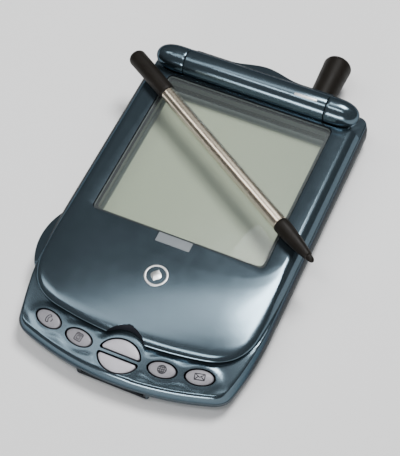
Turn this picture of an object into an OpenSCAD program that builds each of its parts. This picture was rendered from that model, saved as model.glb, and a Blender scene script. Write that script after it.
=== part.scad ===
// Pocket organiser with a phone radio: a two-shell body, a hinged lid with a
// clear window, six front keys, a side rocker, a stub antenna and a stylus.
// Millimetres. X is the width, +Y points to the antenna end, +Z out of the front.
// The origin is on the flat back, near the middle.

/* [Body] */
// Width of the body
body_w = 67.8; // [67.4:0.1:68.6]
// Distance from the origin to the antenna end
body_top = 52.6; // [52.6:0.1:53.2]
// Distance from the origin to the key end, at the middle of its arc
body_foot = 54.2; // [54:0.1:54.6]
// Height of the front face under the lid
face_z = 10.2; // [10.2:0.1:10.3]
// Height of the parting plane between the two shells
split_z = 5.2; // [5.2:0.05:5.25]
// Wall of the two shells
wall = 1.6; // [1.5:0.05:1.7]

/* [Lid] */
// Width of the lid
lid_w = 66.8; // [66.4:0.1:67]
// Distance from the origin to the free edge of the lid, at the middle of its arc
lid_foot = 44; // [43.8:0.1:44.2]
// Height of the flat top of the lid
lid_z = 14.5; // [14.5:0.1:14.6]
// Width of the window plate
window_w = 51.3; // [50.8:0.1:51.5]
// Radius of the thumb notch
notch_r = 7.1; // [6.9:0.1:7.3]

/* [Hinge] */
// Radius of the hinge barrel and its knuckles
barrel_r = 3.95; // [3.8:0.05:3.95]
// Height of the hinge axis
hinge_z = 16.8; // [16.75:0.05:16.85]
// Distance of the hinge axis from the origin
hinge_y = 45.8; // [45.8:0.05:45.9]
// Half of the span between the two seams
seam_x = 22.1; // [22:0.05:22.2]
// Half of the length over both knuckles
knuckle_x = 31.8; // [31.4:0.1:32]

/* [Keys] */
// Length of an oval key
key_l = 7.4; // [7.2:0.1:7.5]
// Breadth of an oval key
key_b = 4.1; // [3.9:0.1:4.3]
// Half of the width of the pair of scroll keys
scroll_x = 5.65; // [5.5:0.05:5.7]
// Half of the height of the pair of scroll keys
scroll_y = 4.6; // [4.5:0.05:4.65]
// How far a key stands above the shell
key_proud = 0.45; // [0.3:0.05:0.6]

/* [Stylus and antenna] */
// Length of the stylus
stylus_len = 88.4; // [87.4:0.5:88.4]
// Radius of the metal stylus tube
stylus_r = 2.2; // [2.1:0.05:2.3]
// Radius of the stylus cap
cap_r = 2.65; // [2.6:0.05:2.75]
// Radius of the silo bore that the stylus is stored in
silo_r = 2.85; // [2.83:0.01:2.87]
// Radius of the antenna where it leaves the body
antenna_r = 3.75; // [3.6:0.05:3.9]
// Radius of the antenna at its tip
antenna_flare = 4.35; // [4.1:0.05:4.45]
// Distance from the origin to the antenna tip
antenna_tip = 70.4; // [68:0.2:74]

/* [Hidden] */
$fn = 48;

foot_arc_r = 80;             // radius of the arc that ends the body
taper_y = -24;               // where the sides start to draw in towards the keys
body_corner_r = 3.2;         // rear corners
lid_arc_r = 105;             // radius of the arc that ends the lid
lid_taper_y = -12;
lid_taper_r = 150;
key_arc_r = 88;              // the keys lie along this arc
lid_rear_y = 43;             // the lid plate ends here, in front of the barrel
fit_gap = 0.05;              // between pieces of one body
swing_gap = 0.35;            // between pieces that move past each other

chin_tilt = 9.6;             // slope of the key panel
chin_y = -48.2;              // centre of the scroll keys
chin_z = 8.88;               // height of the key panel there
key_x = [-22, -12.1, 12.1, 22];

screen_x = 24.6;             // half width of the screen opening
screen_top = 38.6;
screen_foot = -37.4;
board_z = 5.3;               // underside of the main board
board_t = 0.8;

silo_x = 28.9;
silo_z = 5.4;
silo_mouth = 51.4;
silo_len = 89.2;
silo_wall = 0.35;

antenna_x = 17.3;
antenna_z = 8.2;

jack_y = -1;
jack_z = 3.4;
jack_r = 1.25;

sim_y = 19;                  // middle of the card tray
jog_y = -21.5;               // middle of the side rocker
jog_pin_x = -31.4;

screw_spots = [[-26, 47.3], [8, 47.3], [-28, -40.5], [28, -40.5]];
lid_screw_spots = [[-30, -22], [30, -22], [-30.4, 36], [30.4, 36]];

// ---------------------------------------------------------------- outlines

function sag(d, r) = d * d / (2 * r);
function chin_spot_y(x) = chin_y + sag(x, key_arc_r);

// A point of the quadratic curve that leaves a for b and rounds the corner c.
function bend(a, c, b, s) = (1 - s) * (1 - s) * a + 2 * s * (1 - s) * c + s * s * b;

// Right half of the body's outline, key end first: drawn in all round by inset,
// pulled back from the key end by back, with sides that draw in along radius side_r.
function body_half(inset, back, side_r) =
    let (
        side = function (y) body_w / 2 - inset - sag(max(0, taper_y - y), side_r),
        foot = function (x) -body_foot + inset + back + sag(x, foot_arc_r),
        turn_y = foot(side(foot(30))),
        start = [27.5 - inset, foot(27.5 - inset)],
        corner = [side(turn_y), turn_y],
        end = [side(turn_y + 2.6), turn_y + 2.6],
        turn_r = max(0.4, body_corner_r - inset),
        rear = [body_w / 2 - inset - turn_r, body_top - inset - turn_r]
    ) concat(
        [for (i = [0:6]) let (x = start[0] * i / 6) [x, foot(x)]],
        [for (i = [1:5]) bend(start, corner, end, i / 5)],
        [for (i = [1:4]) let (y = end[1] + (taper_y - end[1]) * i / 4) [side(y), y]],
        [for (a = [0:15:90]) rear + turn_r * [cos(a), sin(a)]]
    );

function lid_half(inset, back) =
    let (
        side = function (y) lid_w / 2 - inset - sag(max(0, lid_taper_y - y), lid_taper_r),
        foot = function (x) -lid_foot + inset + back + sag(x, lid_arc_r),
        turn_y = foot(side(foot(32))),
        start = [22 - inset, foot(22 - inset)],
        corner = [side(turn_y), turn_y],
        end = [side(turn_y + 9), turn_y + 9]
    ) concat(
        [for (i = [0:5]) let (x = start[0] * i / 5) [x, foot(x)]],
        [for (i = [1:8]) bend(start, corner, end, i / 8)],
        [for (i = [1:5]) let (y = end[1] + (lid_rear_y - end[1]) * i / 6) [side(y), y]],
        [[lid_w / 2 - inset, lid_rear_y]]
    );

function mirrored(half) = concat(half, [for (i = [len(half) - 1:-1:1]) [-half[i][0], half[i][1]]]);

// A closed solid through a stack of rings that all have the same number of points.
module stack(rings, heights) {
    n = len(rings[0]);
    top = (len(rings) - 1) * n;
    polyhedron(
        points = [for (i = [0:len(rings) - 1]) for (p = rings[i]) [p[0], p[1], heights[i]]],
        faces = concat(
            [[for (k = [0:n - 1]) k]],
            [for (i = [0:len(rings) - 2]) for (k = [0:n - 1]) let (a = i * n + k, b = i * n + (k + 1) % n)
                [a, a + n, b]],
            [for (i = [0:len(rings) - 2]) for (k = [0:n - 1]) let (a = i * n + k, b = i * n + (k + 1) % n)
                [b, a + n, b + n]],
            [[for (k = [n - 1:-1:0]) top + k]]
        )
    );
}

module rounded(r) offset(r = r, $fn = 32) offset(delta = -r) children();

module body_outline() polygon(mirrored(body_half(0, 0, 95)));
module lid_outline() polygon(mirrored(lid_half(0, 0)));

module slab_box(x0, x1, y0, y1, z0, z1)
    translate([x0, y0, z0]) cube([x1 - x0, y1 - y0, z1 - z0]);

module rounded_plate(x0, x1, y0, y1, z0, z1, r)
    translate([0, 0, z0]) linear_extrude(z1 - z0)
        rounded(r) translate([x0, y0]) square([x1 - x0, y1 - y0]);

module along_x(x0, x1, r, y, z, fn = 48)
    translate([x0, y, z]) rotate([0, 90, 0]) cylinder(r = r, h = x1 - x0, $fn = fn);

module along_y(y0, y1, r, x, z, fn = 48)
    translate([x, y0, z]) rotate([-90, 0, 0]) cylinder(r = r, h = y1 - y0, $fn = fn);

module ellipse(l, b)
    polygon([for (i = [0:35]) [l / 2 * cos(i * 10), b / 2 * sin(i * 10)]]);

// ---------------------------------------------------------------- the shells

// Height, inset, set-back and side radius of each level of the closed body.
body_levels = [
    [0, 4.2, 0, 95], [0.35, 2.9, 0, 95], [1.1, 1.7, 0, 95], [2.2, 0.75, 0, 95], [3.4, 0.2, 0, 95],
    [4.6, 0, 0, 90], [5.8, 0, 0, 82], [6.6, 0.03, 0.07, 76], [7.2, 0.06, 0.22, 72],
    [7.7, 0.1, 0.5, 68], [8.05, 0.15, 0.95, 66], [8.3, 0.2, 2.6, 65], [8.6, 0.25, 4.3, 64],
    [9.3, 0.4, 8.4, 62], [9.85, 0.55, 11.6, 62], [face_z, 0.9, 13.7, 62]
];

module body_solid()
    stack([for (l = body_levels) mirrored(body_half(l[1], l[2], l[3]))], [for (l = body_levels) l[0]]);

module hump_outline()
    polygon(concat(
        [[-11.5, body_top - 3]],
        [for (i = [-8:8]) let (x = 11.5 * i / 8) [x, body_top + 1 + cos(180 * i / 8)]],
        [[11.5, body_top - 3]]
    ));

module hinge_trough()
    along_x(-seam_x, seam_x, barrel_r + swing_gap, hinge_y, hinge_z);

// The part of the inside that lies under the tilted key panel.
module under_chin(depth)
    translate([0, chin_y, chin_z]) rotate([chin_tilt, 0, 0])
        translate([-40, -15, -depth - 8]) cube([80, 28, 8]);

module inside(z0, z1, inset, y0, y1)
    translate([0, 0, z0]) linear_extrude(z1 - z0)
        intersection() {
            offset(delta = -inset) body_outline();
            translate([-40, y0]) square([80, y1 - y0]);
        }

module body_cavity() {
    inside(1.4, 4, 3.2, -60, 60);
    inside(3.99, 8.8, wall, -41, 60);
    intersection() {
        inside(3.99, 8.8, wall, -60, -40.9);
        under_chin(1.6);
    }
}

module on_chin(x)
    translate([x, chin_spot_y(x), chin_z])
        rotate([0, 0, atan(x / key_arc_r)]) rotate([chin_tilt, 0, 0]) children();

// Upper part of the oval that the two scroll keys share, grown all round.
module scroll_half(grow, edge)
    rounded(0.6) intersection() {
        ellipse(2 * (scroll_x + grow), 2 * (scroll_y + grow));
        translate([-10, edge]) square([20, 10]);
    }

module key_holes() {
    for (x = key_x)
        on_chin(x) translate([0, 0, -3]) linear_extrude(5) ellipse(key_l + 1.2, key_b + 0.9);
    for (side = [0, 180])
        on_chin(0) translate([0, 0, -3]) linear_extrude(5)
            rotate(side) scroll_half(0.5, 0.3);
}

module silo_channel()
    along_y(silo_mouth - silo_len - 0.6, body_top + 4, (silo_r + silo_wall + fit_gap) / cos(22.5),
        silo_x, silo_z, 8);

module front_housing() {
    color("slategray")
    difference() {
        union() {
            intersection() {
                body_solid();
                slab_box(-40, 40, -60, 60, split_z, 20);
            }
            rounded_plate(-28, 28, lid_rear_y + 0.6, body_top, face_z - 1.2, 12.4, 2);
            slab_box(-21.9, 21.9, 49.5, body_top, 12.3, 15.4);
            translate([0, 0, split_z]) linear_extrude(15.4 - split_z) hump_outline();
        }
        difference() {
            body_cavity();
            for (s = screw_spots)
                translate([s[0], s[1], 0]) cylinder(r = 2.2, h = 9);
        }
        for (s = screw_spots)
            translate([s[0], s[1], 0]) cylinder(r = 0.85, h = 7.4);
        hinge_trough();
        // screen opening with a bevelled lip
        rounded_plate(-screen_x, screen_x, screen_foot, screen_top, 8, 11, 1.5);
        hull() {
            rounded_plate(-screen_x, screen_x, screen_foot, screen_top, 9.5, 9.51, 1.5);
            rounded_plate(-screen_x - 0.7, screen_x + 0.7, screen_foot - 0.7, screen_top + 0.7,
                face_z, face_z + 0.1, 2);
        }
        key_holes();
        silo_channel();
        // rocker, infrared window, power key, ringer slider and antenna
        slab_box(-36, -31, jog_y - 10.1, jog_y + 10.1, split_z - 0.2, 9.2);
        slab_box(-36, -31, 34, 42, 6.2, 8.8);
        slab_box(-18, -10, 50, 54, 5.9, 8.5);
        slab_box(-2.8, 2.8, 50, 56, 6.6, 8.2);
        slab_box(-5.8, 5.8, 50, 53.2, 6, 8.8);
        along_y(45.7, 54, 3.25, antenna_x, antenna_z);
    }
}

module rear_cover() {
    color("dimgray")
    difference() {
        union() {
            intersection() {
                body_solid();
                slab_box(-40, 40, -60, 60, -1, split_z - fit_gap);
            }
            rounded_plate(-10.6, 10.6, -53.4, -44, 1.3, split_z - fit_gap, 0.8);
            translate([0, 0, 2.5]) linear_extrude(split_z - fit_gap - 2.5) hump_outline();
        }
        body_cavity();
        for (s = screw_spots)
            translate([s[0], s[1], 0]) {
                translate([0, 0, 1.8]) cylinder(r = 2.3, h = 5);
                translate([0, 0, -1]) cylinder(r = 2.1, h = 2.2);
                cylinder(r = 1.1, h = 3);
            }
        silo_channel();
        along_y(45.7, 54, 3.25, antenna_x, antenna_z);
        slab_box(-10, 10, -57, -50, 1.6, 4);
        slab_box(-35, -29, sim_y - 8.8, sim_y + 8.8, 2.1, 4.5);
        along_x(-35, -29, 1.95 / cos(22.5), jack_y, jack_z, 8);
        along_y(-57, -49, 0.5, 16, 2.8);
        for (i = [-2:2])
            rounded_plate(13.5, 21.5, -27.4 + i * 2, -26.6 + i * 2, -1, 2, 0.39);
    }
}

module housing_screws() {
    color("silver")
    for (s = screw_spots)
        translate([s[0], s[1], 0]) difference() {
            union() {
                translate([0, 0, 0.25]) cylinder(r = 1.9, h = 0.95 - fit_gap);
                translate([0, 0, 0.6]) cylinder(r = 0.8, h = 6);
            }
            translate([0, 0, -0.1]) cylinder(r = 0.8, h = 0.8, $fn = 6);
        }
}

// ---------------------------------------------------------------- the hinge

function dome_r(x) = barrel_r * pow(max(0, 1 - pow(max(0, x - 25) / (knuckle_x - 25), 2.2)), 1 / 2.2);

// Half of the hinge line, turned about the hinge axis, from x0 to the end dome.
module domed_end(x0, grow) {
    xs = [for (i = [0:9]) 25 + (knuckle_x - 25) * sin(i * 10)];
    translate([0, hinge_y, hinge_z]) rotate([0, 90, 0])
        rotate_extrude($fn = 48)
            polygon(concat(
                [[0, x0], [barrel_r + grow, x0]],
                [for (x = xs) [dome_r(x) + grow, x]],
                [[0, knuckle_x + grow]]
            ));
}

module knuckle() {
    hull() {
        domed_end(seam_x, 0);
        rounded_plate(seam_x, 29.6, 44, 50.4, 12.4 + fit_gap, 12.6, 1);
    }
}

module right_knuckle() {
    color("slategray")
    difference() {
        knuckle();
        along_x(seam_x - 1, 28.5, 1.52, hinge_y, hinge_z);
    }
}

module left_knuckle() {
    color("slategray")
    difference() {
        mirror([1, 0, 0]) knuckle();
        along_x(-28.2, -seam_x + 1, 2.02, hinge_y, hinge_z);
    }
}

module hinge_shaft() {
    color("silver") along_x(12.5, 28.3, 1.5, hinge_y, hinge_z);
}

module hinge_pivot_tube() {
    color("silver")
    difference() {
        along_x(-28, -12, 2, hinge_y, hinge_z);
        along_x(-29, -11, 1.2, hinge_y, hinge_z);
    }
}

module hinge_barrel() {
    color("slategray")
    difference() {
        along_x(-seam_x + 0.15, seam_x - 0.15, barrel_r, hinge_y, hinge_z);
        along_x(7, 30, 2.8, hinge_y, hinge_z);
        along_x(-30, -8, 2.05, hinge_y, hinge_z);
        along_x(-9, 8, 1.5, hinge_y, hinge_z);
    }
}

module hinge_detent_housing() {
    color("silver")
    difference() {
        along_x(7.2, 21.9, 2.78, hinge_y, hinge_z);
        along_x(12, 23, 1.55, hinge_y, hinge_z);
    }
}

// ---------------------------------------------------------------- the lid

// Depth below the flat top, side inset and set-back of each level of the lid.
lid_levels = [
    [3.88, 0.2, 0], [3.3, 0, 0], [2.8, 0.06, 0.4], [2.35, 0.25, 1.1], [2, 0.5, 2.2],
    [1.6, 0.8, 4.6], [1.15, 1.15, 8], [0.7, 1.6, 11.8], [0.35, 2.05, 15.4], [0.12, 2.6, 18.8],
    [0, 3.2, 22.4]
];
panel_back = 3.6;            // the inner panel stops this far behind the free edge
window_foot = -11.25;
window_top = 41;

module lid_inside(inset, y0, y1, z0, z1)
    translate([0, 0, z0]) linear_extrude(z1 - z0)
        difference() {
            intersection() {
                offset(delta = -inset) lid_outline();
                translate([-40, y0]) square([80, y1 - y0]);
            }
            translate([0, chin_y]) circle(r = notch_r + 1.2);
        }

// The space under the crown, a wall's thickness in from the outer face all round.
module lid_crown_inside(thick)
    intersection() {
        stack([for (l = lid_levels) mirrored(lid_half(l[1] + thick, max(panel_back, l[2])))],
            [for (l = lid_levels) lid_z - l[0] - thick]);
        lid_inside(thick, -45, -19.9, 9, 13.2);
    }

// The inner panel's seat in the rim, or with a larger inset the panel itself.
module panel_outline(inset)
    intersection() {
        polygon(mirrored(lid_half(inset, panel_back)));
        difference() {
            translate([-40, -45]) square([80, 87]);
            translate([0, chin_y]) circle(r = notch_r + inset - 0.2);
        }
    }

module lid_solid()
    stack([for (l = lid_levels) mirrored(lid_half(l[1], l[2]))], [for (l = lid_levels) lid_z - l[0]]);

module lid_shell() {
    rim_z = lid_z - 3.88;
    color("slategray")
    difference() {
        lid_solid();
        // hollow for the earpiece and the flex, open at the back
        difference() {
            union() {
                lid_inside(1.4, -20, 42, rim_z - 1, 13.2);
                lid_crown_inside(1.3);
                translate([0, 0, rim_z - 1]) linear_extrude(1.83) panel_outline(1.4);
            }
            slab_box(-26.3, 26.3, window_foot - 1, window_top + 2, 11.45, 20);
            for (s = lid_screw_spots)
                translate([s[0], s[1], 11.45]) cylinder(r = 1.3, h = 3);
        }
        for (s = lid_screw_spots)
            translate([s[0], s[1], 10]) cylinder(r = 0.55, h = 2.8);
        // window ledge
        rounded_plate(-window_w / 2 - fit_gap, window_w / 2 + fit_gap, window_foot - fit_gap,
            window_top + fit_gap, 13.5, 15, 1.5);
        rounded_plate(-24.7, 24.7, -10.3, 40, 9, 15, 1.2);
        rounded_plate(-5.15, 5.15, -14.5, window_foot + 1, 13.65, 15, 0.3);
        translate([0, -24.5, 13.85]) emblem_ring(fit_gap);
        // thumb notch, barrel and knuckle clearance
        translate([0, chin_y, 5]) cylinder(r = notch_r, h = 12);
        along_x(-seam_x, seam_x, barrel_r + fit_gap, hinge_y, hinge_z);
        domed_end(seam_x - 0.2, swing_gap);
        mirror([1, 0, 0]) domed_end(seam_x - 0.2, swing_gap);
    }
}

module emblem_ring(grow)
    difference() {
        cylinder(r = 3.4 + grow, h = 1.2);
        translate([0, 0, -1]) cylinder(r = 2.7 - grow, h = 4);
    }

module lid_emblem() {
    color("silver")
    intersection() {
        translate([0, -24.5, 13.9]) emblem_ring(0);
        slab_box(-5, 5, -30, -19, 13, 14.16);
    }
}

module lid_window() {
    color([0.75, 0.8, 0.78, 0.4])
    difference() {
        rounded_plate(-window_w / 2, window_w / 2, window_foot, window_top, 13.55, lid_z - 0.05, 1.45);
        // the barrel passes just behind the upper edge
        along_x(-30, 30, barrel_r + swing_gap, hinge_y, hinge_z);
    }
}

module lid_light_tab() {
    color("silver") rounded_plate(-5.1, 5.1, -14.45, window_foot - 0.1, 13.7, lid_z - 0.08, 0.25);
}

module lid_inner_panel() {
    color("darkslategray")
    difference() {
        translate([0, 0, 10.65]) linear_extrude(0.75) panel_outline(1.5);
        rounded_plate(-24.9, 24.9, -10.1, 39.8, 10, 12, 1.2);
        for (s = lid_screw_spots)
            translate([s[0], s[1], 9]) {
                cylinder(r = 1.25, h = 1.95 + 0.2);
                cylinder(r = 0.6, h = 4);
            }
        for (i = [-2:2])
            rounded_plate(-3.5, 3.5, -25.85 + i * 1.6, -25.15 + i * 1.6, 10, 12, 0.34);
    }
}

module lid_screws() {
    color("silver")
    for (s = lid_screw_spots)
        translate([s[0], s[1], 0]) {
            translate([0, 0, 10.75]) cylinder(r = 1.15, h = 0.35);
            translate([0, 0, 10.9]) cylinder(r = 0.5, h = 1.6);
        }
}

module lid_bumpers() {
    color("black")
    for (x = [-24, 24])
        translate([x, -33, 10.32]) cylinder(r = 1.5, h = 0.3);
}

module earpiece_speaker() {
    color("dimgray") translate([0, -25.5, 11.45]) cylinder(r = 5.5, h = 0.9);
}

module lid_flex_cable() {
    color("orange") {
        slab_box(-28.6, -26.6, -26.2, 41, 11.6, 11.8);
        slab_box(-26.6, -5.7, -26.2, -24.4, 11.6, 11.8);
    }
}

// ---------------------------------------------------------------- the keys

// A key with a retaining flange and a plunger, drawn about the key panel's face.
module key_body(reach, plunger) {
    translate([0, 0, -1.97]) linear_extrude(1.97 + key_proud) children(0);
    translate([0, 0, -2.5]) linear_extrude(0.55) children(1);
    translate([0, reach, -plunger]) cylinder(r = 1, h = plunger - 2.2);
}

module oval_key(x) {
    color("gainsboro") on_chin(x) key_body(0, 2.85) {
        ellipse(key_l, key_b);
        ellipse(key_l + 1.9, key_b + 1.7);
    }
}

module phone_button() oval_key(key_x[0]);
module calendar_button() oval_key(key_x[1]);
module web_button() oval_key(key_x[2]);
module mail_button() oval_key(key_x[3]);

module scroll_key(side, plunger) {
    color("gainsboro") on_chin(0) rotate(side) key_body(2.6, plunger) {
        scroll_half(0, 0.8);
        intersection() {
            scroll_half(0.9, 0.4);
            translate([-8, 0]) square([16, 4]);
        }
    }
}

module scroll_up_button() scroll_key(0, 3.25);
module scroll_down_button() scroll_key(180, 2.6);

module button_board() {
    color("darkgreen")
    translate([0, 0, 4.2]) linear_extrude(0.7)
        intersection() {
            offset(delta = -2.2) body_outline();
            translate([-25.2, -53]) square([50.4, 11.5]);
        }
}

module snap_dome(x, y, height)
    translate([x, y, 4.95]) cylinder(r1 = 2, r2 = 1.4, h = height);

module button_domes() {
    color("silver") {
        for (x = key_x)
            snap_dome(x, chin_spot_y(x) + 0.5, 0.5);
        snap_dome(0, chin_y + 3.1, 0.5);
        snap_dome(0, chin_y - 2.1, 0.3);
    }
}

module jog_rocker() {
    rocker_half = 9.7;
    rocker_rise = 2.6;
    arc_r = (pow(rocker_half, 2) + pow(rocker_rise, 2)) / (2 * rocker_rise);
    color("slategray")
    difference() {
        union() {
            translate([0, jog_y, 5.5]) linear_extrude(3.5)
                intersection() {
                    translate([-body_w / 2 - rocker_rise + arc_r, 0]) circle(r = arc_r, $fn = 180);
                    translate([-40, -rocker_half]) square([40 - 32.5, 2 * rocker_half]);
                }
            translate([jog_pin_x, jog_y, 6.6]) cylinder(r = 1.3, h = 1.6);
            slab_box(-33, jog_pin_x, jog_y - 1.3, jog_y + 1.3, 6.6, 8.2);
        }
        translate([jog_pin_x, jog_y, 6]) cylinder(r = 0.65, h = 3);
    }
}

module jog_carriage() {
    color("dimgray") {
        for (z = [6.2, 8.3])
            slab_box(-32.1, -28.3, jog_y - 2.5, jog_y + 2.5, z, z + 0.3);
        slab_box(-29.3, -28.3, jog_y - 2.5, jog_y + 2.5, 6.2, 8.6);
        translate([jog_pin_x, jog_y, 6.4]) cylinder(r = 0.6, h = 2);
    }
}

module jog_switch() {
    color("silver") slab_box(-27.5, -26.2, jog_y - 2.5, jog_y + 2.5, 6.2, 8.6);
}

module power_button() {
    color("gainsboro") {
        rounded_key_y(-17.7, -10.3, 51.1, 53, 6.15, 8.25, 0.9);
        slab_box(-18.6, -9.4, 50.3, 50.95, 5.5, 8.7);
        slab_box(-15, -13, 50.3, 51.4, 6.4, 7.8);
    }
}

module rounded_key_y(x0, x1, y0, y1, z0, z1, r)
    translate([0, y1, 0]) rotate([90, 0, 0]) linear_extrude(y1 - y0)
        rounded(r) translate([x0, z0]) square([x1 - x0, z1 - z0]);

module power_switch() {
    color("silver") slab_box(-16, -12, 48.8, 49.7, 6.3, 8.4);
}

module ringer_slider() {
    color("gainsboro") {
        slab_box(-5.4, 2.9, 52, 53, 6.2, 8.6);
        rounded_key_y(-2.45, -0.05, 52.5, 55.2, 6.8, 8, 0.5);
    }
}

module ringer_switch() {
    color("dimgray") slab_box(-5.4, 5.4, 49.4, 51.7, 6.2, 8.6);
}

// ---------------------------------------------------------------- inside

module main_board() {
    color("darkgreen")
    difference() {
        slab_box(-30.2, 25.4, -38.1, 43, board_z, board_z + board_t);
        for (x = [-20, 10])
            translate([x, 41.6, 5]) cylinder(r = 0.6, h = 3);
    }
}

module shield_can(x0, x1, y0, y1, z0) {
    difference() {
        slab_box(x0, x1, y0, y1, z0, board_z - fit_gap);
        slab_box(x0 + 0.3, x1 - 0.3, y0 + 0.3, y1 - 0.3, z0 + 0.3, board_z + 1);
    }
}

module radio_shield() {
    color("silver") shield_can(-4, 20, 10, 42, 3.4);
}

module processor_shield() {
    color("silver") shield_can(11.5, 24.5, -16, 7, 3.6);
}

module battery_pack() {
    color("steelblue") rounded_plate(-23, 10.5, -37, 7, 1.6, 5.1, 1.5);
}

module lcd_panel() {
    color("darkseagreen") slab_box(-25.3, 25.3, -11.5, 39.5, 6.55, 8);
}

module lcd_frame() {
    color("silver")
    difference() {
        slab_box(-25.7, 25.7, -11.9, 39.9, 6.15, 7.9);
        slab_box(-25.35, 25.35, -11.55, 39.55, 6.5, 9);
    }
}

module writing_area_plate() {
    color("gray") slab_box(-25.3, 25.3, -38.2, -12.1, 6.6, 8);
}

module touch_panel() {
    color([0.8, 0.85, 0.8, 0.4]) slab_box(-26, 26, -38.4, 40, 8.05, 8.75);
}

module dock_connector() {
    color("dimgray")
    difference() {
        slab_box(-9.9, 9.9, -53.2, -44.5, 1.65, 3.95);
        slab_box(-9.2, 9.2, -55, -47, 2.1, 3.5);
    }
}

module dock_contacts() {
    color("gold")
    for (i = [-7:7])
        slab_box(i * 1.15 - 0.25, i * 1.15 + 0.25, -52.6, -47.1, 3.2, 3.45);
}

module headset_jack() {
    color("dimgray")
    difference() {
        union() {
            slab_box(-30.2, -23.6, jack_y - 2.6, jack_y + 2.6, 1.6, 5.2);
            along_x(-33.4, -30, 1.75, jack_y, jack_z);
        }
        along_x(-34, -24.4, jack_r, jack_y, jack_z);
    }
}

module ringer_speaker() {
    color("dimgray") translate([17.5, -27, 1.5]) cylinder(r = 6.2, h = 2.4);
}

module microphone() {
    color("silver") along_y(-49.1, -47.7, 1.15, 16, 2.8);
}

module vibration_motor() {
    color("silver") {
        along_x(-21, -13, 2.1, 46.4, 4);
        along_x(-13.2, -9, 0.4, 46.4, 4);
    }
}

module vibration_weight() {
    color("silver")
    difference() {
        along_x(-12.4, -9.4, 2.1, 46.4, 4);
        along_x(-13, -9, 0.45, 46.4, 4);
        slab_box(-14, -8, 46.9, 50, 0, 8);
    }
}

module sim_socket() {
    color("silver") {
        slab_box(-30.4, -6, sim_y - 9.4, sim_y + 9.4, 4.6, 5.2);
        for (side = [-1, 1])
            translate([0, sim_y + side * 9.05, 0]) slab_box(-30.4, -6, -0.35, 0.35, 1.6, 4.7);
    }
}

module sim_tray() {
    color("dimgray")
    difference() {
        union() {
            slab_box(-33.4, -32, sim_y - 8.6, sim_y + 8.6, 2.25, 4.35);
            slab_box(-32.6, -6.3, sim_y - 8.3, sim_y + 8.3, 2.35, 4.1);
        }
        slab_box(-31.9, -6.8, sim_y - 7.6, sim_y + 7.6, 3.2, 5);
    }
}

module sim_card() {
    color("gold")
    translate([0, 0, 3.22]) linear_extrude(0.8)
        polygon([[-31.85, sim_y - 7.5], [-9.85, sim_y - 7.5], [-6.85, sim_y - 4.5],
            [-6.85, sim_y + 7.5], [-31.85, sim_y + 7.5]]);
}

module infrared_window() {
    color("black") slab_box(-33.75, -32, 34.05, 41.95, 6.25, 8.75);
}

// ---------------------------------------------------------------- antenna, stylus

module stylus_silo() {
    color("dimgray")
    difference() {
        along_y(silo_mouth - silo_len - 0.45, silo_mouth, silo_r + silo_wall, silo_x, silo_z);
        along_y(silo_mouth - silo_len, silo_mouth + 1, silo_r, silo_x, silo_z);
    }
}

module antenna_stub() {
    tip_r = 1.7;
    length = antenna_tip - body_top - 0.1;
    color([0.12, 0.11, 0.1])
    translate([antenna_x, body_top + 0.1, antenna_z]) rotate([-90, 0, 0])
        rotate_extrude()
            polygon(concat(
                [[0, 0], [antenna_r, 0]],
                [for (i = [0:6])
                    [antenna_flare - tip_r + tip_r * cos(i * 15), length - tip_r + tip_r * sin(i * 15)]],
                [[0, length]]
            ));
}

module antenna_stud() {
    color("gold") along_y(46.8, body_top + 0.05, 2, antenna_x, antenna_z);
}

module antenna_insert() {
    color("gold")
    difference() {
        along_y(46, body_top - 0.1, 3.2, antenna_x, antenna_z);
        along_y(45, body_top + 1, 2.05, antenna_x, antenna_z);
    }
}

cap_len = 17.8;
tip_len = 15;

// Lays the stylus across the lid, its axis along local Z with the tip at +Z.
module stylus_place()
    translate([0.1, 18.04, lid_z + cap_r + 0.15]) rotate([0, 0, -32.2]) rotate([0, 90, 0])
        children();

module stylus_barrel() {
    color([0.8, 0.74, 0.64])
    stylus_place() difference() {
        translate([0, 0, -stylus_len / 2 + cap_len])
            cylinder(r = stylus_r, h = stylus_len - cap_len - tip_len);
        translate([0, 0, -stylus_len / 2]) cylinder(r = stylus_r - 0.45, h = stylus_len);
    }
}

module stylus_cap() {
    round_r = 1.7;
    color([0.12, 0.1, 0.09])
    stylus_place() translate([0, 0, -stylus_len / 2]) {
        rotate_extrude()
            polygon(concat(
                [[0, 0]],
                [for (i = [0:6])
                    [cap_r - round_r + round_r * sin(i * 15), round_r - round_r * cos(i * 15)]],
                [[cap_r - 0.05, cap_len * 0.45], [cap_r - 0.15, cap_len - 1], [cap_r - 0.4, cap_len - fit_gap],
                 [0, cap_len - fit_gap]]
            ));
        translate([0, 0, cap_len - 0.1]) cylinder(r = stylus_r - 0.5, h = 5);
    }
}

module stylus_tip() {
    nib_r = 0.75;
    color([0.12, 0.1, 0.09])
    stylus_place() translate([0, 0, stylus_len / 2 - tip_len]) {
        rotate_extrude()
            polygon([[0, fit_gap], [stylus_r, fit_gap], [stylus_r + 0.15, 0.4], [stylus_r + 0.1, 4],
                [stylus_r - 0.25, 7.5], [1.3, tip_len - 2.2], [nib_r + 0.1, tip_len - 0.6],
                [nib_r - 0.2, tip_len - 0.15], [0, tip_len]]);
        translate([0, 0, -5]) cylinder(r = stylus_r - 0.5, h = 5.1);
    }
}

// ---------------------------------------------------------------- what is drawn

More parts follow.
